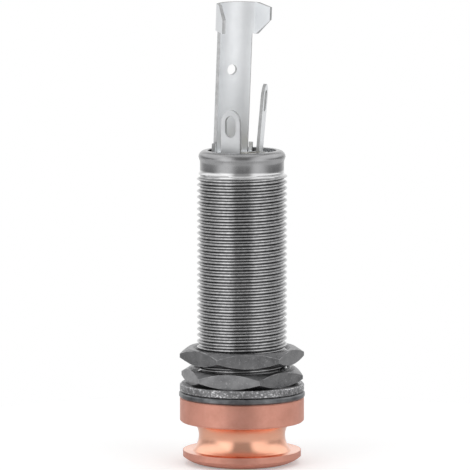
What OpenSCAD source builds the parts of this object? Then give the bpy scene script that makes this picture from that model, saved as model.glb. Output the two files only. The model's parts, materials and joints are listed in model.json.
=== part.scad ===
// Quarter inch phone jack with a strap button on its front end.
// Millimetres, +Z up the barrel from the plug mouth to the solder lugs.
// The origin is the centre of the button's front face.

/* [Strap button] */
// How far the broad upper flange stands out from the neck
flange_w = 2.5; // [2:0.05:5]
// Height of the broad upper flange
flange_h = 3.2; // [2:0.05:6]
// How far the lower rim stands out from the neck
rim_w = 2.1; // [1.8:0.05:4]
// Height of the lower rim's upper edge above the front face
rim_h = 1.8; // [1.4:0.05:4]
// How far the crowned front face has risen at the lower rim's edge
crown_h = 1; // [0.4:0.05:1.2]
// Width of the flat ring around the plug mouth
face_w = 1.35; // [0.8:0.05:2]
// Height of the strap groove between the rim and the flange
groove_h = 3.84; // [2.4:0.02:6]
// Radius of the strap groove's section
groove_r = 2.6; // [2:0.05:5]
// Wall of the neck at the bottom of the strap groove
neck_wall = 0.9; // [0.5:0.05:2]
// Depth of the lip in front of the barrel's nose
lip_h = 1.6; // [1:0.05:3]
// Radial room of the plug mouth around the plug bore
mouth_gap = 0.4; // [0.2:0.05:0.8]
// Lead-in chamfer of the plug mouth
mouth_chamfer = 0.5; // [0.1:0.05:1]
// Broken edge on turned corners
edge_break = 0.18; // [0.05:0.01:0.4]

/* [Barrel] */
// Outside diameter of the barrel thread
thread_d = 11.9; // [11:0.05:16]
// Pitch of the barrel thread
thread_pitch = 0.794; // [0.5:0.001:1.5]
// Length of the barrel thread
thread_len = 29.46; // [24:0.02:60]
// Radius of the fillet between the thread and the collar
runout_r = 0.7; // [0.4:0.05:1.5]
// Length of the plain collar and rolled rim behind the thread
collar_len = 3.2; // [2.4:0.05:6]
// Width of the shoulder that the button is screwed up against
shoulder_w = 1.2; // [0.6:0.05:1.5]
// Diameter of the plug bore
bore_d = 6.5; // [6.4:0.01:7]
// Length of the plug bore from the tip of the nose
bore_len = 11.3; // [6:0.1:14]
// Wall around the spring cavity, under the thread
cavity_wall = 0.87; // [0.7:0.01:1.2]
// Wall left around the contact stack
collar_wall = 0.52; // [0.4:0.01:1]
// Thickness of the rolled lip over the contact stack
rolled_lip_t = 0.5; // [0.35:0.01:1]
// Width of the rolled lip over the contact stack
rolled_lip_w = 0.5; // [0.3:0.01:0.9]
// Radius of the rolled rim
roll_r = 0.87; // [0.6:0.01:1.2]

/* [Nuts and washers] */
// Wall of the nuts outside the thread, at the middle of a flat
nut_wall = 1.195; // [0.9:0.005:4]
// Height of each nut
nut_h = 2; // [1.5:0.05:5]
// Slope of the nut chamfer at the corners
nut_chamfer_angle = 33; // [15:1:45]
// Gap between the two nuts
nut_gap = 0.72; // [0.3:0.01:4]
// Turn of the lower nut about the barrel
lower_nut_turn = -13.9; // [-60:0.1:60]
// Turn of the upper nut about the barrel
upper_nut_turn = 6.5; // [-60:0.1:60]
// Width of the flat washer's ring
flat_washer_w = 2.2; // [1.6:0.05:5]
// Thickness of the flat washer
flat_washer_t = 0.75; // [0.5:0.05:2]
// Width of the lock washer's ring
lock_washer_w = 2.1; // [1.6:0.05:5]
// Thickness of the lock washer
lock_washer_t = 1.1; // [0.6:0.05:2]
// Number of teeth inside the lock washer
tooth_count = 12; // [6:1:18]
// Width of the gap between two teeth
tooth_gap_w = 1.1; // [0.5:0.05:1.6]
// Length of the teeth
tooth_len = 0.8; // [0.4:0.05:1.2]

/* [Contact stack] */
// Thickness of the front insulator
front_insulator_t = 1.05; // [0.8:0.05:2]
// Thickness of the middle insulator
middle_insulator_t = 0.8; // [0.5:0.05:2]
// Thickness of the rear insulator
rear_insulator_t = 0.95; // [0.5:0.05:2]
// Thickness of the ring and tip terminal sheet
terminal_t = 0.4; // [0.3:0.01:0.6]
// Inside radius of the ring and tip terminal bends
terminal_bend = 0.3; // [0.1:0.01:0.5]
// Thickness of the insulating liner
liner_t = 0.3; // [0.2:0.01:0.5]

/* [Solder lugs] */
// Width of the ring and tip lugs
lug_w = 2.9; // [2:0.05:3.2]
// Height of a lug's rounded end
lug_end_h = 1.9; // [0.8:0.05:2.5]
// Width of the oval eyelets
eyelet_w = 1.6; // [0.8:0.05:1.8]
// Length of the oval eyelets
eyelet_len = 2.8; // [1.8:0.05:4]
// Metal left above the oval eyelets
eyelet_wall = 0.8; // [0.4:0.05:1.5]
// Direction of the ring lug about the barrel
ring_angle = -122; // [-180:1:180]
// Distance of the ring lug from the axis
ring_lug_r = 2.7; // [2.2:0.05:2.9]
// Height of the ring lug above the rolled rim
ring_lug_rise = 5.45; // [4:0.05:12]
// Direction of the tip lug about the barrel
tip_angle = -11; // [-180:1:180]
// Distance of the tip lug from the axis
tip_lug_r = 2.34; // [2.2:0.02:2.9]
// Height of the tip lug above the rolled rim
tip_lug_rise = 8.8; // [4:0.1:12]
// Outward lean of the tip lug
tip_lean = 5; // [0:0.5:8]

/* [Sleeve terminal] */
// Thickness of the sleeve terminal sheet
sleeve_t = 0.45; // [0.3:0.01:0.6]
// Inside radius of the sleeve terminal's bend
sleeve_bend = 0.3; // [0.1:0.01:0.5]
// Direction of the sleeve lug about the barrel
sleeve_angle = 118; // [-180:1:180]
// Gap between the sleeve lug and the rolled lip
sleeve_lip_gap = 0.36; // [0.2:0.01:0.8]
// Angle that each short ear beside the lug's root spans
ear_span = 7; // [5:1:14]
// Angle of the relief notch on each side of the lug's root
relief = 2; // [1:0.5:5]
// Height of the ears above the rolled rim
ear_rise = 0.8; // [0.3:0.05:2]
// Angle that the curved sleeve lug spans
sleeve_span = 78; // [50:1:100]
// Height of the sleeve lug above the rolled rim
sleeve_rise = 19.4; // [14:0.1:30]
// Inward lean of the sleeve lug
sleeve_lean = 4.5; // [0:0.5:6]
// Diameter of the round wire hole
wire_hole_d = 1.4; // [0.8:0.05:2]
// Height of the wire hole above the rolled rim
wire_hole_rise = 10.4; // [6:0.1:16]
// Height of the cable clamp at the top of the lug
clamp_h = 4.15; // [3:0.05:7]
// Angle of the left clamp wing's free edge from the lug's middle
left_wing_angle = 102; // [60:1:110]
// Angle of the right clamp wing's free edge from the lug's middle
right_wing_angle = 80; // [60:1:110]
// Height of the left wing's cut upper corner
left_wing_cut = 1.8; // [0.2:0.05:2.5]
// Height of the right wing's cut upper corner
right_wing_cut = 0.45; // [0.2:0.05:1.5]
// Height of the right wing's cut lower corner
right_wing_low_cut = 2.05; // [0.2:0.05:2.5]
// Height of the left wing's lower edge above the right one's
left_wing_lift = 0.65; // [0:0.05:1.5]

/* [Contact springs] */
// Thickness of the spring leaves
leaf_t = 0.3; // [0.2:0.01:0.4]
// Width of the spring leaves
leaf_w = 2.4; // [1.5:0.05:2.8]
// Distance of the leaves' roots from the liner
leaf_root_gap = 0.9; // [0.75:0.01:1.2]
// Depth of the tip contact from the plug mouth
tip_contact_z = 26.3; // [24:0.1:28]
// Distance of the tip contact from the axis
tip_contact_r = 1.6; // [1.2:0.05:2.2]
// Outward swing of the tip leaf
tip_swing = 8.5; // [0:0.5:9]
// Depth of the ring contact from the plug mouth
ring_contact_z = 21.6; // [20:0.1:23]
// Distance of the ring contact from the axis
ring_contact_r = 2.6; // [2.2:0.05:3]
// Outward swing of the ring leaf
ring_swing = 3; // [0:0.5:4]

/* [Fits] */
// Radial clearance in the threaded joints
thread_clearance = 0.05; // [0.02:0.01:0.1]
// Radial clearance of the washers on the barrel
washer_clearance = 0.15; // [0.05:0.01:0.5]
// Radial clearance of the liner and discs in the barrel
seat_clearance = 0.05; // [0.02:0.01:0.1]
// Gap around a lug or leaf in its slot
slot_gap = 0.08; // [0.05:0.01:0.3]
// Insulating air gap around live metal
air_gap = 0.5; // [0.3:0.05:1]

/* [Hidden] */
$fn = 96;
cut = 1;

// heights from the front face up
groove_z = rim_h + groove_h / 2;
flange_z = rim_h + groove_h;
button_h = flange_z + flange_h;
nose_z = lip_h + thread_clearance;
thread_top = button_h + thread_len;
rim_top = thread_top + collar_len;
flat_washer_z = button_h;
lock_washer_z = flat_washer_z + flat_washer_t;
lower_nut_z = lock_washer_z + lock_washer_t;
upper_nut_z = lower_nut_z + nut_h + nut_gap;

// the contact stack is built down from the rolled lip
sleeve_plate_z = rim_top - rolled_lip_t - sleeve_t;
rear_insulator_z = sleeve_plate_z - rear_insulator_t;
tip_plate_z = rear_insulator_z - terminal_t;
middle_insulator_z = tip_plate_z - middle_insulator_t;
ring_plate_z = middle_insulator_z - terminal_t;
front_insulator_z = ring_plate_z - front_insulator_t;

// barrel radii
thread_r = thread_d / 2;
thread_depth = 0.5413 * thread_pitch;
nose_r = thread_r - shoulder_w;
bore_r = bore_d / 2;
collar_r = thread_r - thread_depth;
cavity_r = collar_r - cavity_wall;
seat_r = collar_r - collar_wall;
lip_r = seat_r - rolled_lip_w;
runout_h = sqrt(runout_r * runout_r - pow(runout_r - thread_depth, 2));
runout_z = thread_top + runout_h;
roll_x = collar_r + 0.2 - roll_r;
roll_z = rim_top - roll_r;
cavity_floor_z = nose_z + bore_len + (cavity_r - bore_r) / 2;
disc_r = seat_r - seat_clearance;
plate_r = seat_r - air_gap;
liner_r = cavity_r - seat_clearance;
leaf_root_r = liner_r - liner_t - leaf_root_gap;

// strap button, nuts and washers
socket_r = nose_r + thread_clearance;
mouth_r = bore_r + mouth_gap;
neck_r = socket_r + neck_wall;
rim_r = neck_r + rim_w;
face_r = mouth_r + face_w;
crown_r = (pow(rim_r - face_r, 2) + crown_h * crown_h) / (2 * crown_h);
flange_r = neck_r + flange_w;
nut_bore_r = thread_r + thread_clearance;
nut_flat_r = thread_r + nut_wall;
washer_bore_r = thread_r + washer_clearance;
flat_washer_r = washer_bore_r + flat_washer_w;
lock_washer_r = washer_bore_r + lock_washer_w;

// sleeve lug
sleeve_outer_r = lip_r - sleeve_lip_gap;
sleeve_inner_r = sleeve_outer_r - sleeve_t;
sleeve_bend_line = sleeve_inner_r - sleeve_bend;
sleeve_top = rim_top + sleeve_rise;
clamp_z = sleeve_top - clamp_h;

// springs hang from the side of each plate that is away from its lug
ring_leaf_angle = ring_angle + 180;
tip_leaf_angle = tip_angle + 180;
leaf_end_gap = 0.05;
ring_leaf_top = ring_plate_z - leaf_end_gap;
tip_leaf_top = tip_plate_z - leaf_end_gap;
ring_pivot_z = (ring_leaf_top + front_insulator_z) / 2;
tip_pivot_z = (tip_leaf_top + front_insulator_z) / 2;
ring_leaf_slot = leaf_t + 2 * slot_gap + (ring_leaf_top - front_insulator_z) * tan(ring_swing);
tip_leaf_slot = leaf_t + 2 * slot_gap + (tip_leaf_top - front_insulator_z) * tan(tip_swing);

// Tube with its lower face at z
module tube(z, h, outer, inner) {
    translate([0, 0, z])
        difference() {
            cylinder(r = outer, h = h);
            translate([0, 0, -cut])
                cylinder(r = inner, h = h + 2 * cut);
        }
}

// Turned section with all four corners broken
module broken_section(inner, outer, z, h) {
    polygon([
        [inner, z + edge_break],
        [inner + edge_break, z],
        [outer - edge_break, z],
        [outer, z + edge_break],
        [outer, z + h - edge_break],
        [outer - edge_break, z + h],
        [inner + edge_break, z + h],
        [inner, z + h - edge_break]
    ]);
}

// Flat pie slice from one angle to another, up to 180 degrees
module slice(radius, from, to) {
    far = radius * 2;
    middle = (from + to) / 2;
    intersection() {
        circle(r = radius);
        polygon([
            [0, 0],
            [far * cos(from), far * sin(from)],
            [far * cos((from + middle) / 2), far * sin((from + middle) / 2)],
            [far * cos(middle), far * sin(middle)],
            [far * cos((to + middle) / 2), far * sin((to + middle) / 2)],
            [far * cos(to), far * sin(to)]
        ]);
    }
}

// Rectangular slot for a strip that stands across the direction of an angle
module strip_slot(angle, radius, thick, wide, z, h) {
    rotate([0, 0, angle])
        translate([radius - thick / 2, -wide / 2, z - cut])
            cube([thick, wide, h + 2 * cut]);
}

module barrel_section() {
    difference() {
        union() {
            polygon([
                [0, nose_z],
                [nose_r - thread_depth, nose_z],
                [nose_r, nose_z + thread_depth],
                [nose_r, button_h],
                [thread_r - thread_depth, button_h],
                [thread_r, button_h + thread_depth],
                [thread_r, runout_z],
                [collar_r, runout_z],
                [collar_r, roll_z - 0.6],
                [roll_x + roll_r, roll_z],
                [roll_x, roll_z],
                [0, roll_z]
            ]);
            translate([roll_x, roll_z])
                circle(r = roll_r);
            translate([lip_r, roll_z])
                square([roll_x - lip_r, roll_r]);
        }
        // fillet from the thread's outside in to the collar
        translate([collar_r + runout_r, runout_z])
            circle(r = runout_r);
        // plug bore, spring cavity and the seat of the contact stack
        polygon([
            [0, nose_z - cut],
            [bore_r + 0.4 + cut, nose_z - cut],
            [bore_r, nose_z + 0.4],
            [bore_r, nose_z + bore_len],
            [cavity_r, cavity_floor_z],
            [cavity_r, front_insulator_z],
            [seat_r, front_insulator_z],
            [seat_r, sleeve_plate_z + sleeve_t],
            [lip_r, sleeve_plate_z + sleeve_t],
            [lip_r, rim_top + cut],
            [0, rim_top + cut]
        ]);
    }
}

module barrel() {
    color("DimGray")
        rotate_extrude()
            barrel_section();
}

module strap_button_section() {
    groove_x = neck_r + groove_r;
    core_r = min(rim_r, flange_r) - edge_break;
    difference() {
        union() {
            // lower rim with its crowned front face
            square([face_r, rim_h]);
            intersection() {
                translate([face_r, -cut])
                    square([rim_r - face_r, rim_h + cut]);
                translate([face_r, crown_r])
                    circle(r = crown_r);
            }
            translate([0, rim_h / 2])
                square([core_r, rim_h / 2 + groove_h + flange_h / 2]);
            broken_section(nose_r - 1, flange_r, flange_z, flange_h);
        }
        // strap groove, flat where it meets the rim and the flange
        intersection() {
            translate([groove_x, groove_z])
                circle(r = groove_r);
            translate([0, rim_h])
                square([groove_x, groove_h]);
        }
        // plug mouth with its lead-in
        polygon([
            [-cut, -cut],
            [mouth_r + mouth_chamfer + cut, -cut],
            [mouth_r, mouth_chamfer],
            [mouth_r, lip_h + cut],
            [-cut, lip_h + cut]
        ]);
        // threaded socket for the barrel's nose
        translate([-cut, lip_h])
            square([socket_r + cut, button_h]);
    }
}

module strap_button() {
    color("Peru")
        rotate_extrude()
            strap_button_section();
}

module flat_washer() {
    color("SlateGray")
        rotate_extrude()
            broken_section(washer_bore_r, flat_washer_r, flat_washer_z, flat_washer_t);
}

// Washer with flat teeth inside, which the nut above covers
module lock_washer() {
    top = lock_washer_z + lock_washer_t;
    color("Gray")
        difference() {
            rotate_extrude()
                polygon([
                    [washer_bore_r, lock_washer_z],
                    [lock_washer_r - edge_break, lock_washer_z],
                    [lock_washer_r, lock_washer_z + edge_break],
                    [lock_washer_r, top - edge_break],
                    [lock_washer_r - edge_break, top],
                    [washer_bore_r, top]
                ]);
            for (i = [0 : tooth_count - 1])
                rotate([0, 0, (i + 0.5) * 360 / tooth_count])
                    translate([0, -tooth_gap_w / 2, lock_washer_z - cut])
                        cube([washer_bore_r + tooth_len, tooth_gap_w, lock_washer_t + 2 * cut]);
        }
}

// Hex nut with both faces chamfered and its thread mouths countersunk
module hex_nut(z, turn) {
    corner_r = nut_flat_r / cos(30);
    chamfer_r = nut_flat_r - 0.05;
    drop = (corner_r - chamfer_r) * tan(nut_chamfer_angle);
    translate([0, 0, z])
        rotate([0, 0, turn])
            difference() {
                intersection() {
                    cylinder(r = corner_r, h = nut_h, $fn = 6);
                    rotate_extrude()
                        polygon([
                            [0, 0],
                            [chamfer_r, 0],
                            [corner_r, drop],
                            [corner_r, nut_h - drop],
                            [chamfer_r, nut_h],
                            [0, nut_h]
                        ]);
                }
                rotate_extrude()
                    polygon([
                        [0, -cut],
                        [nut_bore_r + thread_depth + cut, -cut],
                        [nut_bore_r, thread_depth],
                        [nut_bore_r, nut_h - thread_depth],
                        [nut_bore_r + thread_depth + cut, nut_h + cut],
                        [0, nut_h + cut]
                    ]);
            }
}

module lower_nut() {
    color("DarkSlateGray")
        hex_nut(lower_nut_z, lower_nut_turn);
}

module upper_nut() {
    color("DarkSlateGray")
        hex_nut(upper_nut_z, upper_nut_turn);
}

module barrel_liner() {
    color("Ivory")
        tube(cavity_floor_z, front_insulator_z - cavity_floor_z, liner_r, liner_r - liner_t);
}

module front_insulator() {
    color("Bisque")
        difference() {
            translate([0, 0, front_insulator_z])
                cylinder(r = disc_r, h = front_insulator_t);
            strip_slot(ring_leaf_angle, leaf_root_r, ring_leaf_slot, leaf_w + 2 * slot_gap,
                front_insulator_z, front_insulator_t);
            strip_slot(tip_leaf_angle, leaf_root_r, tip_leaf_slot, leaf_w + 2 * slot_gap,
                front_insulator_z, front_insulator_t);
        }
}

module middle_insulator() {
    color("Bisque")
        difference() {
            translate([0, 0, middle_insulator_z])
                cylinder(r = disc_r, h = middle_insulator_t);
            strip_slot(ring_angle, ring_lug_r, terminal_t + 2 * slot_gap, lug_w + 2 * slot_gap,
                middle_insulator_z, middle_insulator_t);
            lug_bend_recess(ring_angle, ring_lug_r, middle_insulator_z);
            strip_slot(tip_leaf_angle, leaf_root_r, tip_leaf_slot, leaf_w + 2 * slot_gap,
                middle_insulator_z, middle_insulator_t);
        }
}

module rear_insulator() {
    color("Bisque")
        difference() {
            translate([0, 0, rear_insulator_z])
                cylinder(r = disc_r, h = rear_insulator_t);
            strip_slot(ring_angle, ring_lug_r, terminal_t + 2 * slot_gap, lug_w + 2 * slot_gap,
                rear_insulator_z, rear_insulator_t);
            strip_slot(tip_angle, tip_lug_r, terminal_t + 2 * slot_gap, lug_w + 2 * slot_gap,
                rear_insulator_z, rear_insulator_t);
            lug_bend_recess(tip_angle, tip_lug_r, rear_insulator_z);
        }
}

// Room in an insulator's lower face for the inside of a lug's bend
module lug_bend_recess(angle, radius, z) {
    rotate([0, 0, angle])
        translate([radius - terminal_t / 2 - terminal_bend - slot_gap, -lug_w / 2 - slot_gap, z - cut])
            cube([terminal_bend + terminal_t / 2 + slot_gap, lug_w + 2 * slot_gap, terminal_bend + cut]);
}

// Flat outline of a solder lug with a rounded end and an oval eyelet
module lug_outline(h) {
    half = lug_w / 2;
    eyelet_top = h - eyelet_wall - eyelet_w / 2;
    eyelet_bottom = eyelet_top - eyelet_len + eyelet_w;
    difference() {
        polygon(concat(
            [[-half, 0], [half, 0]],
            [for (a = [0 : 7.5 : 180]) [half * cos(a), h - lug_end_h + lug_end_h * sin(a)]]
        ));
        translate([0, eyelet_top])
            circle(d = eyelet_w);
        translate([0, eyelet_bottom])
            circle(d = eyelet_w);
        translate([-eyelet_w / 2, eyelet_bottom])
            square([eyelet_w, eyelet_top - eyelet_bottom]);
    }
}

// Stamped plate with a lug bent up at its straight edge, lying at z and facing +X
module bent_terminal(z, radius, top, kink, lean) {
    bend_x = radius - terminal_t / 2 - terminal_bend;
    lug_z = z + terminal_t + terminal_bend;
    translate([0, 0, z])
        linear_extrude(height = terminal_t)
            intersection() {
                circle(r = plate_r);
                translate([-plate_r, -plate_r])
                    square([plate_r + bend_x, 2 * plate_r]);
            }
    translate([bend_x, 0, lug_z])
        rotate([90, 0, 0])
            rotate([0, 0, -90])
                rotate_extrude(angle = 90)
                    translate([terminal_bend, -lug_w / 2])
                        square([terminal_t, lug_w]);
    translate([radius - terminal_t / 2, -lug_w / 2, lug_z])
        cube([terminal_t, lug_w, kink - lug_z]);
    translate([radius - terminal_t / 2, 0, kink])
        rotate([0, lean, 0])
            rotate([90, 0, 90])
                linear_extrude(height = terminal_t)
                    lug_outline(top - kink);
}

module ring_terminal() {
    color("Silver")
        difference() {
            rotate([0, 0, ring_angle])
                bent_terminal(ring_plate_z, ring_lug_r, rim_top + ring_lug_rise, rim_top, 0);
            // notch that keeps the tip leaf clear of this plate
            notch_x = leaf_root_r - tip_leaf_slot / 2 - air_gap;
            rotate([0, 0, tip_leaf_angle])
                translate([notch_x, -leaf_w / 2 - air_gap, ring_plate_z - cut])
                    cube([plate_r, leaf_w + 2 * air_gap, terminal_t + 2 * cut]);
        }
}

module tip_terminal() {
    color("Silver")
        difference() {
            rotate([0, 0, tip_angle])
                bent_terminal(tip_plate_z, tip_lug_r, rim_top + tip_lug_rise, rim_top, tip_lean);
            // notch that keeps the ring lug clear of this plate
            notch_x = ring_lug_r - terminal_t / 2 - air_gap;
            rotate([0, 0, ring_angle])
                translate([notch_x, -lug_w / 2 - air_gap, tip_plate_z - cut])
                    cube([plate_r, lug_w + 2 * air_gap, terminal_t + 2 * cut]);
        }
}

// One long side of a strip along a path, on its left with side 1 or its right with side -1
function strip_side(path, side) = [
    for (i = [0 : len(path) - 1])
        let (
            before = path[max(i, 1)] - path[max(i, 1) - 1],
            after = path[min(i, len(path) - 2) + 1] - path[min(i, len(path) - 2)],
            normal_before = [-before[1], before[0]] / norm(before),
            normal_after = [-after[1], after[0]] / norm(after)
        )
        path[i] + side * leaf_t / 2 * (normal_before + normal_after) / (1 + normal_before * normal_after)
];

// Strip of leaf metal along a path of points in the plane of radius and height
module leaf(angle, path) {
    left = strip_side(path, 1);
    right = strip_side(path, -1);
    last = len(path) - 1;
    rotate([0, 0, angle])
        rotate([90, 0, 0])
            linear_extrude(height = leaf_w, center = true)
                polygon(concat(left, [for (i = [0 : last]) right[last - i]]));
}

// Path of a leaf from its root down to its rounded contact and flared end
function leaf_path(top, contact_r, contact_z) = [
    [leaf_root_r, top],
    [leaf_root_r, front_insulator_z - 0.4],
    [contact_r + 0.3, contact_z + 1],
    [contact_r + 0.08, contact_z + 0.4],
    [contact_r, contact_z],
    [contact_r + 0.08, contact_z - 0.4],
    [contact_r + 0.35, contact_z - 1.2]
];

module ring_spring() {
    color("Goldenrod")
        leaf(ring_leaf_angle, leaf_path(ring_leaf_top, ring_contact_r, ring_contact_z));
}

module tip_spring() {
    color("Goldenrod")
        leaf(tip_leaf_angle, leaf_path(tip_leaf_top, tip_contact_r, tip_contact_z));
}

module sleeve_plate() {
    half = sleeve_span / 2;
    opening_r = ring_lug_r + 1;
    difference() {
        circle(r = disc_r);
        // opening that the two insulated lugs stand in
        intersection() {
            circle(r = opening_r);
            translate([-plate_r * 2, -plate_r * 2])
                square([plate_r * 2 + sleeve_bend_line * 0.6, plate_r * 4]);
        }
        // the sheet ends under the bend, with a relief notch on each side of the lug
        difference() {
            slice(disc_r + cut, -half - ear_span - 2 * relief, half + ear_span + 2 * relief);
            circle(r = sleeve_bend_line + 0.1);
        }
    }
}

// Section of the curved lug: the bend up from the plate and the wall above it
module sleeve_lug_section() {
    outer = sleeve_bend + sleeve_t;
    bend_z = sleeve_plate_z + sleeve_t + sleeve_bend;
    translate([sleeve_bend_line, bend_z])
        intersection() {
            difference() {
                circle(r = outer);
                circle(r = sleeve_bend);
            }
            translate([0, -outer])
                square([outer, outer]);
        }
    translate([sleeve_inner_r, bend_z])
        square([sleeve_t, sleeve_top - bend_z]);
}

// Wedge that trims a clamp wing along a line that changes height by rise over twice the reach
module wing_trim(angle, reach, edge_z, rise) {
    near = 1.25 * reach;
    far = 3 * reach;
    slope = rise / (2 * reach);
    outside = edge_z - 4 * rise;
    rotate([0, 0, angle])
        rotate([90, 0, 90])
            linear_extrude(height = sleeve_outer_r * 2)
                polygon([
                    [-near, outside],
                    [-near, edge_z + slope * (reach - near)],
                    [far, edge_z + slope * (reach + far)],
                    [far, outside]
                ]);
}

// Room beside the lug, from one height to another and from one angle to another
module sleeve_side_cut(bottom, top, from, to) {
    translate([0, 0, bottom])
        linear_extrude(height = top - bottom)
            slice(sleeve_outer_r + cut, from, to);
}

// Curved lug before it leans, with its wire hole and the two clamp wings
module sleeve_lug() {
    half = sleeve_span / 2;
    ear_edge = half + relief + ear_span;
    ear_top = rim_top + ear_rise;
    root_z = sleeve_plate_z - cut;
    left_end = left_wing_angle + relief;
    right_end = -right_wing_angle - relief;
    left_root = (left_wing_angle - half) / 2;
    left_reach = sleeve_outer_r * sin(left_root / 2);
    right_root = (right_wing_angle - half) / 1.4;
    right_reach = sleeve_outer_r * sin(right_root / 2);
    difference() {
        rotate([0, 0, -right_wing_angle])
            rotate_extrude(angle = right_wing_angle + left_wing_angle)
                sleeve_lug_section();
        // below the clamp only the lug's own width is left, with a short ear on each side of its root
        sleeve_side_cut(ear_top, clamp_z + left_wing_lift, half, left_end);
        sleeve_side_cut(ear_top, clamp_z, right_end, -half);
        sleeve_side_cut(root_z, ear_top + cut, half, half + relief);
        sleeve_side_cut(root_z, ear_top + cut, -half - relief, -half);
        sleeve_side_cut(root_z, ear_top + cut, ear_edge, left_end);
        sleeve_side_cut(root_z, ear_top + cut, right_end, -ear_edge);
        translate([0, 0, rim_top + wire_hole_rise])
            rotate([0, 90, 0])
                cylinder(d = wire_hole_d, h = sleeve_outer_r * 2);
        wing_trim(left_wing_angle - left_root / 2, left_reach, sleeve_top, -left_wing_cut);
        mirror([0, 1, 0]) {
            wing_trim(right_wing_angle - right_root / 2, right_reach, clamp_z, right_wing_low_cut);
            wing_trim(right_wing_angle - right_root / 2, right_reach, sleeve_top, -right_wing_cut);
        }
    }
}

module sleeve_terminal() {
    middle_z = sleeve_plate_z + sleeve_t / 2;
    color("Gainsboro")
        rotate([0, 0, sleeve_angle]) {
            translate([0, 0, sleeve_plate_z])
                linear_extrude(height = sleeve_t)
                    sleeve_plate();
            difference() {
                translate([sleeve_bend_line, 0, middle_z])
                    rotate([0, -sleeve_lean, 0])
                        translate([-sleeve_bend_line, 0, -middle_z])
                            sleeve_lug();
                // the bend stays flush with the plate's lower face
                translate([-disc_r, -disc_r, sleeve_plate_z - disc_r])
                    cube([2 * disc_r, 2 * disc_r, disc_r]);
            }
        }
}

barrel();
strap_button();
flat_washer();
lock_washer();
lower_nut();
upper_nut();
barrel_liner();
front_insulator();
ring_terminal();
ring_spring();
middle_insulator();
tip_terminal();
tip_spring();
rear_insulator();
sleeve_terminal();
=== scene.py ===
import json
import math

import bmesh
import bpy
from mathutils import Matrix, Vector


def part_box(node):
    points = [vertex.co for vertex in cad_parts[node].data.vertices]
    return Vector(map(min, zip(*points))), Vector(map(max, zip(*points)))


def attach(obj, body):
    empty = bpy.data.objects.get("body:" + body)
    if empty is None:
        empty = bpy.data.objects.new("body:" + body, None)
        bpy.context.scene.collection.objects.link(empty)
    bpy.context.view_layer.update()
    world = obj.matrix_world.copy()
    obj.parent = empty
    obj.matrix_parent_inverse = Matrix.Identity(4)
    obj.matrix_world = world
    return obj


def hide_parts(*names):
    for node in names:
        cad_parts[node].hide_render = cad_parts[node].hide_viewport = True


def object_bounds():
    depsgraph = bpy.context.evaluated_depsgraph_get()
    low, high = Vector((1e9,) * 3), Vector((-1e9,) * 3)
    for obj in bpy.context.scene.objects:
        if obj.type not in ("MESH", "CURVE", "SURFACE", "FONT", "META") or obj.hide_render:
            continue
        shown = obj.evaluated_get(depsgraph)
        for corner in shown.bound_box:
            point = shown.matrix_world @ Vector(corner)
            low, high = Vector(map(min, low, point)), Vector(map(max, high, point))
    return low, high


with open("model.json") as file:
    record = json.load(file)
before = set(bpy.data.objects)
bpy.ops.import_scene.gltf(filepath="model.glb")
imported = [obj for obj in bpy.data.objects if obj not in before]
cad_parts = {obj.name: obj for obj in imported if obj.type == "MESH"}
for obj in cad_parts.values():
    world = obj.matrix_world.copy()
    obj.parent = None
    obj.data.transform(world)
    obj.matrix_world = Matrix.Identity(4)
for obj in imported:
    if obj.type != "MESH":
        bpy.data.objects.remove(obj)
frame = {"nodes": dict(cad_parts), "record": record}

CAD_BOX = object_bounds()
NODES = frame["nodes"]
MM = 0.001

# Thread of the barrel
PITCH = 0.794 * MM
THREAD_DEPTH = 0.43 * MM
THREAD_COLUMNS = 96
# Turns that the thread is longer at each end before it is cut off
SPARE_TURNS = 2
# Axial place and height of one thread tooth, as shares of the pitch and the depth
TOOTH = [(0.0, 1.0), (0.045, 1.0), (0.08, 0.93), (0.355, 0.07), (0.42, 0.0),
         (0.58, 0.0), (0.645, 0.07), (0.92, 0.93), (0.955, 1.0)]

# Places that the frame gives
BARREL_LOW, BARREL_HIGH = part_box("barrel")
NOSE_Z = BARREL_LOW.z
RIM_Z = BARREL_HIGH.z
THREAD_R = BARREL_HIGH.x
SHOULDER_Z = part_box("strap_button")[1].z
SEAT_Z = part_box("front_insulator")[0].z
CAVITY_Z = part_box("barrel_liner")[0].z

# Sections of the barrel
COLLAR_R = THREAD_R - THREAD_DEPTH
COLLAR_LEN = 3.2 * MM
NOSE_R = THREAD_R - 1.2 * MM
NOSE_RELIEF = 0.6 * MM
NOSE_TOP_Z = SHOULDER_Z - NOSE_RELIEF
NECK_SLOPE = 0.2 * MM
SEAT_R = COLLAR_R - 0.52 * MM
LIP_R = SEAT_R - 0.5 * MM
LIP_T = 0.5 * MM
LIP_EDGE = 0.06 * MM
CAVITY_R = COLLAR_R - 0.87 * MM
BORE_R = 3.25 * MM
BORE_CHAMFER = 0.4 * MM
BORE_END_Z = CAVITY_Z - (CAVITY_R - BORE_R) / 2
BORE_MIDDLE_Z = (NOSE_Z + BORE_END_Z) / 2
BORE_STRIP = 1 * MM
ROLL_R = 0.87 * MM
ROLL_X = COLLAR_R + 0.2 * MM - ROLL_R
ROLL_Z = RIM_Z - ROLL_R
ROLL_STEPS = 10
# How far the collar opens below the middle of the roll: (outward, downward)
FLARE = [(0.0, 0.75 * MM), (0.03 * MM, 0.5 * MM), (0.12 * MM, 0.22 * MM)]
THREAD_TOP_Z = RIM_Z - COLLAR_LEN
RUNOUT_R = 0.7 * MM
RUNOUT_Z = THREAD_TOP_Z + math.sqrt(RUNOUT_R ** 2 - (RUNOUT_R - THREAD_DEPTH) ** 2)
BARREL_CREASE = 42

# Sleeve terminal: its sheet, its lean about the bend above its plate, and its clamp wings
SLEEVE_ANGLE = 118
SLEEVE_LEAN = 4.5
SLEEVE_R = LIP_R - 0.585 * MM
SLEEVE_BEND = Vector((LIP_R - 1.11 * MM, 0, RIM_Z - 0.725 * MM))
WING_LOW_Z = RIM_Z + 15 * MM
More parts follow.
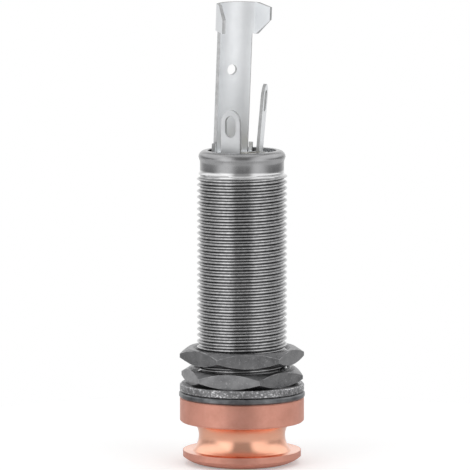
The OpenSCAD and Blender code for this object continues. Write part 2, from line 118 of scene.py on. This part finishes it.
# Side of the lug, angle of the wing's bend line and angle of its end
LEFT_WING = (1, 52, 102)
RIGHT_WING = (-1, 43, 80)
WING_BEND = 0.25 * MM
WING_BEND_STEPS = 3
SHEET_CREASE = 15

# Distances within which vertices are welded, or count as lying on a cut
WELD = 0.0001 * MM
ON_LEVEL_CUT = 1e-9
ON_WING_CUT = 1e-8

# Camera, as the photo was taken
PHOTO_PX = 470
MM_PER_PX = 0.1315
CAMERA_ELEVATION = 6.5
CAMERA_DISTANCE = 0.6
AXIS_PX = 242
FRONT_FACE_PX = 462.5
SENSOR = 36
CLIP_START = 0.01

# Lamps: name, azimuth, elevation, width, height and radiance
LAMPS = [
    ("left_box", -45, 10, 0.46, 0.7, 1.1),
    ("right_box", 47, 10, 0.46, 0.7, 1.0),
    ("top_box", 0, 88, 0.6, 0.6, 1.0),
]
LAMP_DISTANCE = 0.5

# Brightness of the surroundings that shiny surfaces mirror
ROOM_LEVEL = 0.4
WALL_LEVEL = 1.0
TABLE_LEVEL = 1.0
TABLE_MIDDLE = 0.8
LEFT_LEVEL = 1.55
RIGHT_LEVEL = 1.3
CEILING_LEVEL = 1.0
# Brightness for all other light, and behind the object
AMBIENT_LEVEL = 0.5
BACKDROP_LEVEL = 1.0
# Where the surroundings change, as parts of a direction of length 1: start and end
WALL_Y = (0.45, 1.0)
TABLE_Z = (-0.13, -0.24)
TABLE_SIDE = (0.1, 0.45)
BOX_SIDE = (0.15, 0.6)
BOX_Y = (0.15, -0.65)
LEFT_TO_RIGHT = (-0.8, 0.8)
HIGH_Z = (0.0, 0.3)
HIGH_SIDE = (0.3, 0.6)
CEILING_Z = (0.7, 0.95)

FLOOR_R = 0.06
FLOOR_CORNERS = 96
FLOOR_TONE = (0.8, 0.8, 0.8, 1)
FLOOR_ROUGHNESS = 0.9
FLOOR_GLOW = 0.3

# Colours: the darkest and the lightest tone of each cloudy surface, or one tone
# painted shade: the dark tone of the thread's flanks
FLANK_SHADE_NICKEL = (0.11, 0.11, 0.113, 1)
PLAIN_NICKEL = ((0.27, 0.27, 0.275), (0.33, 0.33, 0.335))
# painted highlight: the light tone of the lines on the thread's crests and roots
LINE_HIGHLIGHT_NICKEL = ((0.46, 0.46, 0.465), (0.76, 0.76, 0.765))
# painted highlight: the light tone of the thread's fillet and the top of the rim
HIGHLIGHT_BAND_NICKEL = ((0.6, 0.6, 0.605), (0.68, 0.68, 0.685))
SATIN_COPPER = ((0.74, 0.37, 0.285), (0.82, 0.42, 0.33))
BRIGHT_COPPER = ((0.88, 0.45, 0.31), (0.94, 0.5, 0.35))
TIN = ((0.82, 0.835, 0.85), (0.87, 0.885, 0.9))
# painted shade: a darker copy of the tin tone, for the ring terminal
SHADED_TIN = ((0.55, 0.56, 0.57), (0.63, 0.64, 0.65))
# painted shade: the dark tone of the stamped edges
TIN_EDGE_SHADE = ((0.4, 0.405, 0.41), (0.54, 0.545, 0.55))
NUT_NICKEL = ((0.18, 0.18, 0.185), (0.27, 0.27, 0.275))
# painted highlight: the light tone of the nuts' specks and corners
NUT_HIGHLIGHT = (0.6, 0.6, 0.61, 1)
GREY_STEEL = ((0.16, 0.16, 0.165), (0.27, 0.27, 0.275))
# painted highlight: the light tone of the washer's glints
STEEL_GLINT = (0.62, 0.62, 0.63, 1)
DARK_STEEL = ((0.09, 0.093, 0.1), (0.21, 0.214, 0.22))
BRONZE = ((0.6, 0.45, 0.24), (0.72, 0.56, 0.32))
LAMINATE = ((0.24, 0.19, 0.09), (0.33, 0.27, 0.14))
LINER = ((0.66, 0.63, 0.56), (0.74, 0.71, 0.64))

# Strap button: it is polished inside this radius and above this height, with a short change
GROOVE_R = (7.7 * MM, 7.76 * MM)
GROOVE_Z = (1.7 * MM, 1.76 * MM)

# Relief: depth of full strength, radius of softly rounded edges, and their samples
RELIEF_DEPTH = 0.01 * MM
SOFT_EDGE = 0.04 * MM
EDGE_SAMPLES = 6


def tooth_height(share):
    """Height of the thread at a share of the pitch, from 0 at the root to 1 at the crest."""
    share = share % 1
    points = TOOTH + [(1.0, 1.0)]
    for (start, low), (end, high) in zip(points, points[1:]):
        if share <= end:
            return low + (high - low) * (share - start) / (end - start)
    return 1.0


def barrel_blank(z):
    """Outside radius of the barrel before its thread is cut."""
    if z > THREAD_TOP_Z:
        return COLLAR_R + RUNOUT_R - math.sqrt(RUNOUT_R ** 2 - (RUNOUT_Z - z) ** 2)
    return THREAD_R - max(0, THREAD_DEPTH - (z - SHOULDER_Z))


def nose_blank(z):
    """Outside radius of the barrel's nose before its thread is cut."""
    tip = THREAD_DEPTH - (z - NOSE_Z)
    neck = THREAD_DEPTH - (NOSE_TOP_Z - z)
    return NOSE_R - max(0, tip, neck)


def cut_level(bm, z, up, clear):
    """Cuts all faces at a height, and may clear away what lies beyond it."""
    geom = bm.verts[:] + bm.edges[:] + bm.faces[:]
    bmesh.ops.bisect_plane(bm, geom=geom, dist=ON_LEVEL_CUT, plane_co=(0, 0, z),
                           plane_no=(0, 0, up), clear_outer=clear)


def add_thread(bm, low_z, high_z, outer_r, blank, creases):
    """Helical strip of thread teeth, cut off flat at both ends and never outside its blank."""
    rows = len(TOOTH)
    first_turn = math.floor(low_z / PITCH) - SPARE_TURNS
    last_turn = math.ceil(high_z / PITCH) + SPARE_TURNS
    strip = bmesh.new()
    grid = []
    for turn in range(first_turn, last_turn):
        for place, _ in TOOTH:
            ring = []
            for column in range(THREAD_COLUMNS):
                share = column / THREAD_COLUMNS
                angle = 2 * math.pi * share
                z = (turn + place + share) * PITCH
                ring.append(strip.verts.new((math.cos(angle), math.sin(angle), z)))
            grid.append(ring)
    for row in range(len(grid) - rows - 1):
        low, high = grid[row], grid[row + 1]
        for i in range(THREAD_COLUMNS - 1):
            strip.faces.new((low[i], low[i + 1], high[i + 1], high[i]))
        # the strip's seam is one turn higher on its other side
        strip.faces.new((low[-1], grid[row + rows][0], grid[row + 1 + rows][0], high[-1]))
    cut_level(strip, low_z, -1, True)
    cut_level(strip, high_z, 1, True)
    for z in creases:
        cut_level(strip, z, 1, False)
    loose = [v for v in strip.verts if not v.link_faces]
    bmesh.ops.delete(strip, geom=loose, context="VERTS")
    for v in strip.verts:
        angle = math.atan2(v.co.y, v.co.x)
        tooth = tooth_height(v.co.z / PITCH - angle / (2 * math.pi))
        radius = min(blank(v.co.z), outer_r - THREAD_DEPTH + THREAD_DEPTH * tooth)
        v.co.x = radius * math.cos(angle)
        v.co.y = radius * math.sin(angle)
    mesh = bpy.data.meshes.new("thread_strip")
    strip.to_mesh(mesh)
    strip.free()
    bm.from_mesh(mesh)
    bpy.data.meshes.remove(mesh)


def end_ring(bm, z):
    """Vertices of the open end at a height, in order round the axis."""
    open_verts = {v for e in bm.edges if e.is_boundary for v in e.verts}
    ring = [v for v in open_verts if abs(v.co.z - z) < PITCH / 4]
    return sorted(ring, key=lambda v: math.atan2(v.co.y, v.co.x))


def sweep_ring(bm, ring, section):
    """Carries a ring of vertices through the (radius, height) points of a turned section."""
    for radius, z in section:
        fresh = []
        for v in ring:
            angle = math.atan2(v.co.y, v.co.x)
            fresh.append(bm.verts.new((radius * math.cos(angle), radius * math.sin(angle), z)))
        for i, v in enumerate(ring):
            j = (i + 1) % len(ring)
            bm.faces.new((v, ring[j], fresh[j], fresh[i]))
        ring = fresh
    return ring


def bridge(bm, first, second):
    """Closes the wall between two open rings."""
    edges = []
    for ring in (first, second):
        for i, v in enumerate(ring):
            edges.append(bm.edges.get((v, ring[(i + 1) % len(ring)])))
    bmesh.ops.bridge_loops(bm, edges=edges)


def arc(x, z, radius, start, end, steps):
    """(radius, height) points on an arc of a turned section, angles in degrees."""
    points = []
    for i in range(steps + 1):
        angle = math.radians(start + (end - start) * i / steps)
        points.append((x + radius * math.cos(angle), z + radius * math.sin(angle)))
    return points


def finish_mesh(bm, name, crease_angle):
    """Object from a bmesh, smooth shaded with creases above an angle."""
    bmesh.ops.recalc_face_normals(bm, faces=bm.faces[:])
    for face in bm.faces:
        face.smooth = True
    for edge in bm.edges:
        if edge.is_manifold and edge.calc_face_angle() > math.radians(crease_angle):
            edge.smooth = False
    mesh = bpy.data.meshes.new(name)
    bm.to_mesh(mesh)
    bm.free()
    obj = bpy.data.objects.new(name, mesh)
    bpy.context.scene.collection.objects.link(obj)
    return obj


def make_barrel():
    """The barrel with its real threads, collar and rolled rim."""
    bm = bmesh.new()
    runout_middle = (THREAD_TOP_Z + RUNOUT_Z) / 2
    add_thread(bm, SHOULDER_Z, RUNOUT_Z, THREAD_R, barrel_blank,
               [SHOULDER_Z + THREAD_DEPTH, THREAD_TOP_Z, runout_middle])
    add_thread(bm, NOSE_Z, NOSE_TOP_Z, NOSE_R, nose_blank,
               [NOSE_Z + THREAD_DEPTH, NOSE_TOP_Z - THREAD_DEPTH])
    root_r = NOSE_R - THREAD_DEPTH
    collar = [(COLLAR_R + outward, ROLL_Z - downward) for outward, downward in FLARE]
    roll = arc(ROLL_X, ROLL_Z, ROLL_R, 0, 90, ROLL_STEPS)
    inside = [
        (LIP_R + LIP_EDGE, RIM_Z), (LIP_R, RIM_Z - LIP_EDGE), (LIP_R, RIM_Z - LIP_T),
        (SEAT_R, RIM_Z - LIP_T), (SEAT_R, SEAT_Z), (CAVITY_R, SEAT_Z), (CAVITY_R, CAVITY_Z),
        (BORE_R, BORE_END_Z), (BORE_R, BORE_MIDDLE_Z + BORE_STRIP),
    ]
    shoulder = [(root_r, SHOULDER_Z), (root_r, NOSE_TOP_Z + NECK_SLOPE)]
    nose = [(BORE_R + BORE_CHAMFER, NOSE_Z), (BORE_R, NOSE_Z + BORE_CHAMFER),
            (BORE_R, BORE_MIDDLE_Z)]
    thread_top, thread_low, nose_top, nose_low = [
        end_ring(bm, z) for z in (RUNOUT_Z, SHOULDER_Z, NOSE_TOP_Z, NOSE_Z)]
    top_end = sweep_ring(bm, thread_top, collar + roll + inside)
    neck_end = sweep_ring(bm, thread_low, shoulder)
    nose_end = sweep_ring(bm, nose_low, nose)
    bridge(bm, neck_end, nose_top)
    bridge(bm, top_end, nose_end)
    return finish_mesh(bm, "barrel_threaded", BARREL_CREASE)


def flatten_wing(bm, side, root, end):
    """Bends a clamp wing flat, onto the chord of its curve from one angle to another."""
    root = math.radians(root)
    span = math.radians(end) - root
    chord = 2 * SLEEVE_R * math.sin(span / 2)
    turn = span / 2 / (1 - WING_BEND / (2 * chord))
    bend_r = WING_BEND / turn
    for step in range(WING_BEND_STEPS + 1):
        angle = root + span * WING_BEND / chord * step / WING_BEND_STEPS
        across = (math.sin(angle), -side * math.cos(angle), 0)
        faces = [f for f in bm.faces if min(v.co.z for v in f.verts) > WING_LOW_Z]
        edges = {e for f in faces for e in f.edges}
        verts = {v for f in faces for v in f.verts}
        bmesh.ops.bisect_plane(bm, geom=faces + list(edges) + list(verts), dist=ON_WING_CUT,
                               plane_co=(0, 0, 0), plane_no=across)
    middle = Vector((math.cos(root), math.sin(root))) * (SLEEVE_R - bend_r)
    for v in bm.verts:
        flat = Vector((v.co.x, side * v.co.y))
        beyond = math.atan2(flat.y, flat.x) - root
        if v.co.z < WING_LOW_Z or beyond <= 0:
            continue
        run = chord * beyond / span
        bent = root + turn * min(1, run / WING_BEND)
        normal = Vector((math.cos(bent), math.sin(bent)))
        along = Vector((-normal.y, normal.x)) * max(0, run - WING_BEND)
        flat = middle + normal * (bend_r + flat.length - SLEEVE_R) + along
        v.co.x = flat.x
        v.co.y = side * flat.y


def make_sleeve_terminal():
    """The sleeve terminal with its clamp wings bent flat."""
    lean = (Matrix.Rotation(math.radians(SLEEVE_ANGLE), 4, "Z")
            @ Matrix.Translation(SLEEVE_BEND)
            @ Matrix.Rotation(math.radians(-SLEEVE_LEAN), 4, "Y")
            @ Matrix.Translation(-SLEEVE_BEND))
    bm = bmesh.new()
    bm.from_mesh(NODES["sleeve_terminal"].data)
    bmesh.ops.remove_doubles(bm, verts=bm.verts[:], dist=WELD)
    bm.transform(lean.inverted())
    flatten_wing(bm, *LEFT_WING)
    flatten_wing(bm, *RIGHT_WING)
    bm.transform(lean)
    return finish_mesh(bm, "sleeve_terminal_formed", SHEET_CREASE)


class Shader:
    """Node material around one Principled shader."""

    def __init__(self, name, **sockets):
        self.material = bpy.data.materials.new(name)
        self.material.use_nodes = True
        self.tree = self.material.node_tree
        self.bsdf = self.tree.nodes["Principled BSDF"]
        for socket, value in sockets.items():
            self.bsdf.inputs[socket.replace("_", " ")].default_value = value
        self.place = self.add("ShaderNodeTexCoord").outputs["Object"]

    def add(self, kind, inputs=None, **settings):
        """New node, with its settings and with values or links for its inputs."""
        node = self.tree.nodes.new(kind)
        for key, value in settings.items():
            setattr(node, key, value)
        for key, value in (inputs or {}).items():
            self.feed(node.inputs[key], value)
        return node

    def feed(self, socket, value):
        if isinstance(value, bpy.types.NodeSocket):
            self.tree.links.new(value, socket)
        else:
            socket.default_value = value

    def to(self, output, socket):
        self.tree.links.new(output, self.bsdf.inputs[socket])

    def noise(self, scale, detail=3, place=None):
        inputs = {"Vector": place or self.place, "Scale": scale, "Detail": detail}
        return self.add("ShaderNodeTexNoise", inputs).outputs["Fac"]

    def calc(self, operation, first, second):
        node = self.add("ShaderNodeMath", {0: first, 1: second}, operation=operation)
        return node.outputs[0]

    def vector(self, operation, *inputs):
        return self.add("ShaderNodeVectorMath", dict(enumerate(inputs)), operation=operation)

    def spread(self, value, low, high, start=0.3, end=0.7):
        """Value between low and high while another goes from start to end."""
        inputs = {"Value": value, "From Min": start, "From Max": end, "To Min": low, "To Max": high}
        return self.add("ShaderNodeMapRange", inputs).outputs["Result"]

    def mix(self, kind, value, first, second):
        """Mix of two colours (RGBA) or two numbers (VALUE)."""
        data_type = {"RGBA": "RGBA", "VALUE": "FLOAT"}[kind]
        node = self.add("ShaderNodeMix", {"Factor": value}, data_type=data_type)
        for name, part in (("A", first), ("B", second)):
            socket = [s for s in node.inputs if s.name == name and s.type == kind][0]
            self.feed(socket, part)
        return [s for s in node.outputs if s.type == kind][0]

    def cloud(self, scale, dark, light):
        """Cloudy change between two colours."""
        share = self.spread(self.noise(scale, detail=4), 0, 1)
        return self.mix("RGBA", share, (*dark, 1), (*light, 1))

    def flat_place(self):
        """Texture place without its height."""
        return self.vector("MULTIPLY", self.place, (1, 1, 0)).outputs["Vector"]

    def radius(self):
        """Distance from the barrel's axis."""
        return self.vector("LENGTH", self.flat_place()).outputs["Value"]

    def height(self):
        return self.add("ShaderNodeSeparateXYZ", {0: self.place}).outputs["Z"]

    def turned(self):
        """Texture place that only changes with radius and height, for the marks of a lathe."""
        inputs = {"X": self.radius(), "Z": self.height()}
        return self.add("ShaderNodeCombineXYZ", inputs).outputs[0]

    def soft_normal(self, edge):
        return self.add("ShaderNodeBevel", {"Radius": edge}, samples=EDGE_SAMPLES).outputs[0]

    def relief(self, height, strength, edge=SOFT_EDGE):
        """Fine relief on top of softly rounded edges."""
        inputs = {"Height": height, "Strength": strength, "Distance": RELIEF_DEPTH,
                  "Normal": self.soft_normal(edge)}
        self.to(self.add("ShaderNodeBump", inputs).outputs["Normal"], "Normal")


def plated_metal(name, colours, rough, mottle, grain, strength):
    """Plated metal: cloudy colour, uneven polish, a fine grain and softly rounded edges."""
    shader = Shader(name, Metallic=1.0)
    shader.to(shader.cloud(mottle, *colours), "Base Color")
    shader.to(shader.spread(shader.noise(mottle * 2.3, detail=5), *rough), "Roughness")
    shader.relief(shader.noise(grain, detail=2), strength)
    return shader.material


def barrel_plating():
    """Black nickel over turned brass, with painted shade on the thread's flanks, painted highlights
    on its crests, roots and fillet and on the rim's lip, and a duller collar.
    """
    shader = Shader("black_nickel", Metallic=1.0)
    radius = shader.radius()
    height = shader.height()
    collar = shader.spread(height, 0, 1, RUNOUT_Z - 0.2 * MM, RUNOUT_Z + 0.1 * MM)
    inside = shader.spread(radius, 1, 0, COLLAR_R - 0.3 * MM, COLLAR_R - 0.2 * MM)
    unthreaded = shader.calc("MAXIMUM", collar, inside)
    plain = shader.cloud(500, *PLAIN_NICKEL)
    # painted shade: the threaded part's flanks get the dark tone, the collar and the bore the plain
    # one
    ground = shader.mix("RGBA", unthreaded, FLANK_SHADE_NICKEL, plain)

    # painted highlights: light lines along the thread's crests and, on the threaded part, its roots
    crest = shader.spread(radius, 0, 0.9,
                          THREAD_R - 0.6 * THREAD_DEPTH, THREAD_R - 0.1 * THREAD_DEPTH)
    root = shader.spread(radius, 0.68, 0,
                         COLLAR_R + 0.04 * THREAD_DEPTH, COLLAR_R + 0.3 * THREAD_DEPTH)
    root = shader.calc("MULTIPLY", root, shader.spread(unthreaded, 1, 0, 0, 1))
    line_highlights = shader.calc("MAXIMUM", crest, root)
    with_line_highlights = shader.mix("RGBA", line_highlights, ground, shader.cloud(2200, *LINE_HIGHLIGHT_NICKEL))

    # painted highlights: the fillet where the thread runs out, and a little on the rim's top lip;
    # the mask smooth holds them
    runout = shader.spread(height, 0, 1, THREAD_TOP_Z - 0.2 * MM, THREAD_TOP_Z)
    above = shader.spread(height, 1, 0, RUNOUT_Z - 0.15 * MM, RUNOUT_Z + 0.05 * MM)
    fillet = shader.calc("MULTIPLY", runout, above)
    lip = shader.spread(height, 0, 0.15, RIM_Z - 0.6 * MM, RIM_Z - 0.25 * MM)
    smooth = shader.calc("MAXIMUM", fillet, lip)
    fillet_and_lip_highlight = shader.cloud(500, *HIGHLIGHT_BAND_NICKEL)
    shader.to(shader.mix("RGBA", smooth, with_line_highlights, fillet_and_lip_highlight), "Base Color")

    thread_rough = shader.spread(shader.noise(1200, detail=5), 0.1, 0.18)
    collar_rough = shader.spread(shader.noise(1500, detail=5), 0.2, 0.3)
    shader.to(shader.mix("VALUE", collar, thread_rough, collar_rough), "Roughness")
    lathe_marks = shader.noise(9000, detail=2, place=shader.turned())
    shader.relief(lathe_marks, 0.12, edge=0.02 * MM)
    return shader.material


def button_copper():
    """Copper plating with lathe marks: satin outside and polished in the strap groove."""
    shader = Shader("rose_copper", Metallic=1.0, Anisotropic=0.8, Anisotropic_Rotation=0.25)
    tangent = shader.add("ShaderNodeTangent", direction_type="RADIAL", axis="Z").outputs[0]
    shader.to(tangent, "Tangent")
    within = shader.spread(shader.radius(), 1, 0, *GROOVE_R)
    above = shader.spread(shader.height(), 0, 1, *GROOVE_Z)
    polished = shader.calc("MULTIPLY", within, above)
    satin = shader.cloud(500, *SATIN_COPPER)
    bright = shader.cloud(400, *BRIGHT_COPPER)
    shader.to(shader.mix("RGBA", polished, satin, bright), "Base Color")
    satin_rough = shader.spread(shader.noise(2600, detail=5), 0.54, 0.64)
    bright_rough = shader.spread(shader.noise(1500, detail=4), 0.19, 0.25)
    shader.to(shader.mix("VALUE", polished, satin_rough, bright_rough), "Roughness")
    lathe_marks = shader.noise(7000, detail=3, place=shader.turned())
    shader.relief(lathe_marks, 0.1, edge=0.06 * MM)
    return shader.material


def terminal_tin(name, colours):
    """Tin plate, with painted shade making the stamped edges darker than the sheet's two sides.

    A side faces to or from the barrel's axis, or up or down where the base plates are."""
    shader = Shader(name, Metallic=1.0)
    normal = shader.add("ShaderNodeTexCoord").outputs["Normal"]
    outward = shader.vector("NORMALIZE", shader.flat_place()).outputs["Vector"]
    facing = shader.vector("DOT_PRODUCT", normal, outward).outputs["Value"]
    upward = shader.add("ShaderNodeSeparateXYZ", {0: normal}).outputs["Z"]
    base = shader.spread(shader.height(), 1, 0, RIM_Z, RIM_Z + 0.2 * MM)
    flat_side = shader.calc("MULTIPLY", shader.calc("POWER", upward, 2.0), base)
    side = shader.calc("ADD", shader.calc("POWER", facing, 2.0), flat_side)
    # painted shade: darker where the surface is an edge of the sheet
    edge = shader.spread(side, 1, 0, 0.42, 0.56)
    plate = shader.cloud(450, *colours)
    edge_shade = shader.cloud(1500, *TIN_EDGE_SHADE)
    shader.to(shader.mix("RGBA", edge, plate, edge_shade), "Base Color")
    shader.to(shader.spread(shader.noise(1100, detail=5), 0.48, 0.58), "Roughness")
    shader.relief(shader.noise(9000, detail=2), 0.08)
    return shader.material


def nut_plating():
    """Black nickel on milled nuts, with painted highlights: fine bright specks and brighter patches
    on the corners.
    """
    shader = Shader("gunmetal", Metallic=1.0)
    normal = shader.add("ShaderNodeNewGeometry").outputs["Normal"]
    soft = shader.soft_normal(0.09 * MM)
    turn = shader.vector("DOT_PRODUCT", normal, soft).outputs["Value"]
    # painted highlights: brighter patches along the corners, and fine bright specks
    corner = shader.spread(turn, 0, 1, 0.998, 0.97)
    patches = shader.spread(shader.noise(900, detail=4), 0, 1, 0.42, 0.62)
    corner_highlight = shader.calc("MULTIPLY", corner, patches)
    glint = shader.spread(shader.noise(5200, detail=2), 0, 0.4, 0.6, 0.72)
    bright = shader.calc("MAXIMUM", corner_highlight, glint)
    ground = shader.cloud(700, *NUT_NICKEL)
    shader.to(shader.mix("RGBA", bright, ground, NUT_HIGHLIGHT), "Base Color")
    shader.to(shader.spread(shader.noise(2600, detail=5), 0.26, 0.4), "Roughness")
    shader.relief(shader.noise(14000, detail=2), 0.25)
    return shader.material


def speckled_steel():
    """Grey washer with a coarse plating and painted glints: bright specks in its colour."""
    shader = Shader("grey_steel", Metallic=1.0)
    grains = shader.noise(4200, detail=2)
    # painted glints: bright specks from the same grains that roughen the surface
    glint = shader.spread(grains, 0, 1, 0.52, 0.66)
    ground = shader.cloud(1800, *GREY_STEEL)
    shader.to(shader.mix("RGBA", glint, ground, STEEL_GLINT), "Base Color")
    shader.to(shader.spread(grains, 0.5, 0.3), "Roughness")
    shader.relief(grains, 0.9, edge=0.05 * MM)
    return shader.material


def plastic(name, colours, rough, mottle, strength):
    """Insulating sheet or tube."""
    shader = Shader(name)
    shader.to(shader.cloud(mottle, *colours), "Base Color")
    shader.to(shader.spread(shader.noise(mottle * 1.7, detail=4), *rough), "Roughness")
    shader.relief(shader.noise(6000, detail=3), strength)
    return shader.material


def make_materials():
    """Material of each slot of the record."""
    return {
        "barrel_plating": barrel_plating(),
        "button_copper": button_copper(),
        "nut_plating": nut_plating(),
        "flat_washer_steel": plated_metal("dark_steel", DARK_STEEL, rough=(0.28, 0.4), mottle=900,
                                          grain=9000, strength=0.2),
        "lock_washer_steel": speckled_steel(),
        "terminal_tin": terminal_tin("tin_plate", TIN),
        "spring_bronze": plated_metal("bronze", BRONZE, rough=(0.25, 0.4), mottle=500,
                                      grain=8000, strength=0.15),
        "insulator": plastic("laminate", LAMINATE, rough=(0.4, 0.55), mottle=900, strength=0.2),
        "liner_plastic": plastic("liner", LINER, rough=(0.35, 0.45), mottle=400, strength=0.1),
    }


def paint(obj, material):
    if not obj.material_slots:
        obj.data.materials.append(material)
    for slot in obj.material_slots:
        slot.link = "OBJECT"
        slot.material = material


def make_lamp(name, azimuth, elevation, width, height, radiance):
    """Soft lamp that faces the middle of the object, with azimuth 0 in front of it.

    Shiny surfaces don't mirror it, because the world has what they mirror."""
    data = bpy.data.lights.new(name, "AREA")
    data.shape = "RECTANGLE"
    data.size = width
    data.size_y = height
    data.energy = radiance * math.pi * width * height
    lamp = bpy.data.objects.new(name, data)
    around = math.radians(azimuth)
    up = math.radians(elevation)
    aim = Vector((0, 0, (CAD_BOX[0].z + CAD_BOX[1].z) / 2))
    away = Vector((math.sin(around) * math.cos(up), -math.cos(around) * math.cos(up),
                   math.sin(up)))
    lamp.location = aim + away * LAMP_DISTANCE
    lamp.rotation_euler = away.to_track_quat("Z", "Y").to_euler()
    lamp.visible_camera = False
    lamp.visible_glossy = False
    bpy.context.scene.collection.objects.link(lamp)


def make_world():
    """White behind the object. Shiny surfaces mirror a studio: a dim room in front, a white wall
    behind, a pale table, two soft boxes with bright high sides over them, and a ceiling."""
    world = bpy.data.worlds.new("studio")
    bpy.context.scene.world = world
    world.use_nodes = True
    nodes = world.node_tree.nodes
    links = world.node_tree.links
    background = nodes["Background"]
    background.inputs["Color"].default_value = (1, 1, 1, 1)
    direction = nodes.new("ShaderNodeSeparateXYZ")
    links.new(nodes.new("ShaderNodeTexCoord").outputs["Generated"], direction.inputs[0])
    x, y, z = direction.outputs
    absolute = nodes.new("ShaderNodeMath")
    absolute.operation = "ABSOLUTE"
    links.new(x, absolute.inputs[0])
    side = absolute.outputs[0]

    def fade(source, reach, low, high):
        node = nodes.new("ShaderNodeMapRange")
        node.interpolation_type = "SMOOTHSTEP"
        start, end = reach
        values = {"From Min": start, "From Max": end, "To Min": low, "To Max": high}
        for socket, value in values.items():
            node.inputs[socket].default_value = value
        links.new(source, node.inputs["Value"])
        return node.outputs["Result"]

    def combine(operation, first, second):
        node = nodes.new("ShaderNodeMath")
        node.operation = operation
        links.new(first, node.inputs[0])
        links.new(second, node.inputs[1])
        return node.outputs[0]

    def choose(test, other, value):
        """A number while a test is 0, and another one while it is 1."""
        node = nodes.new("ShaderNodeMix")
        links.new(test, node.inputs["Factor"])
        for socket, part in ((node.inputs["A"], other), (node.inputs["B"], value)):
            if isinstance(part, bpy.types.NodeSocket):
                links.new(part, socket)
            else:
                socket.default_value = part
        return node.outputs["Result"]

    wall = fade(y, WALL_Y, ROOM_LEVEL, WALL_LEVEL)
    table = combine("MULTIPLY", fade(z, TABLE_Z, 0, TABLE_LEVEL),
                    fade(side, TABLE_SIDE, TABLE_MIDDLE, 1))
    boxes = combine("MULTIPLY", fade(side, BOX_SIDE, 0, 1), fade(y, BOX_Y, 0, 1))
    boxes = combine("MULTIPLY", boxes, fade(x, LEFT_TO_RIGHT, LEFT_LEVEL, RIGHT_LEVEL))
    high_sides = combine("MULTIPLY", fade(z, HIGH_Z, 0, 1), fade(side, HIGH_SIDE, 0, RIGHT_LEVEL))
    ceiling = fade(z, CEILING_Z, 0, CEILING_LEVEL)
    mirrored = wall
    for part in (table, boxes, high_sides, ceiling):
        mirrored = combine("MAXIMUM", mirrored, part)
    path = nodes.new("ShaderNodeLightPath").outputs
    shiny = combine("MAXIMUM", path["Is Glossy Ray"], path["Is Transmission Ray"])
    room = choose(shiny, AMBIENT_LEVEL, mirrored)
    seen = choose(path["Is Camera Ray"], room, BACKDROP_LEVEL)
    links.new(seen, background.inputs["Strength"])


def make_floor():
    """Round pale floor that keeps the object's shadow and melts into the white background.

    It goes with the strap button, which the object stands on."""
    bpy.ops.mesh.primitive_circle_add(vertices=FLOOR_CORNERS, radius=FLOOR_R, fill_type="NGON",
                                      location=(0, 0, CAD_BOX[0].z))
    floor = bpy.context.object
    floor.name = "floor"
    shader = Shader("pale_floor", Roughness=FLOOR_ROUGHNESS, Base_Color=FLOOR_TONE,
                    Emission_Color=(1, 1, 1, 1))
    path = shader.add("ShaderNodeLightPath").outputs
    shader.to(shader.calc("MULTIPLY", path["Is Camera Ray"], FLOOR_GLOW), "Emission Strength")
    paint(floor, shader.material)
    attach(floor, "strap_button")


def make_camera():
    """Camera whose picture has the photo's scale, with the axis and the front face in place."""
    data = bpy.data.cameras.new("camera")
    camera = bpy.data.objects.new("camera", data)
    bpy.context.scene.collection.objects.link(camera)
    bpy.context.scene.camera = camera
    up = math.radians(CAMERA_ELEVATION)
    middle = PHOTO_PX / 2
    drop = (FRONT_FACE_PX - middle) * MM_PER_PX * MM
    aim_z = drop * CAMERA_DISTANCE / (CAMERA_DISTANCE * math.cos(up) - drop * math.sin(up))
    aim = Vector(((middle - AXIS_PX) * MM_PER_PX * MM, 0, aim_z))
    away = Vector((0, -math.cos(up), math.sin(up)))
    camera.location = aim + away * CAMERA_DISTANCE
    camera.rotation_euler = away.to_track_quat("Z", "Y").to_euler()
    data.sensor_fit = "HORIZONTAL"
    data.sensor_width = SENSOR
    data.lens = SENSOR * CAMERA_DISTANCE / (PHOTO_PX * MM_PER_PX * MM)
    data.clip_start = CLIP_START


materials = make_materials()
for part in frame["record"]["subparts"]:
    paint(NODES[part["node"]], materials[part["material_slot"]])
# painted shade: the ring terminal gets a darker copy of the tin plate than the other two
paint(NODES["ring_terminal"], terminal_tin("shaded_tin", SHADED_TIN))

barrel = make_barrel()
paint(barrel, materials["barrel_plating"])
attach(barrel, "barrel")
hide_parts("barrel")

sleeve_terminal = make_sleeve_terminal()
paint(sleeve_terminal, materials["terminal_tin"])
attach(sleeve_terminal, "barrel")
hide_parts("sleeve_terminal")

make_camera()
for lamp in LAMPS:
    make_lamp(*lamp)
make_world()
make_floor()
bpy.context.scene.view_settings.view_transform = "Standard"
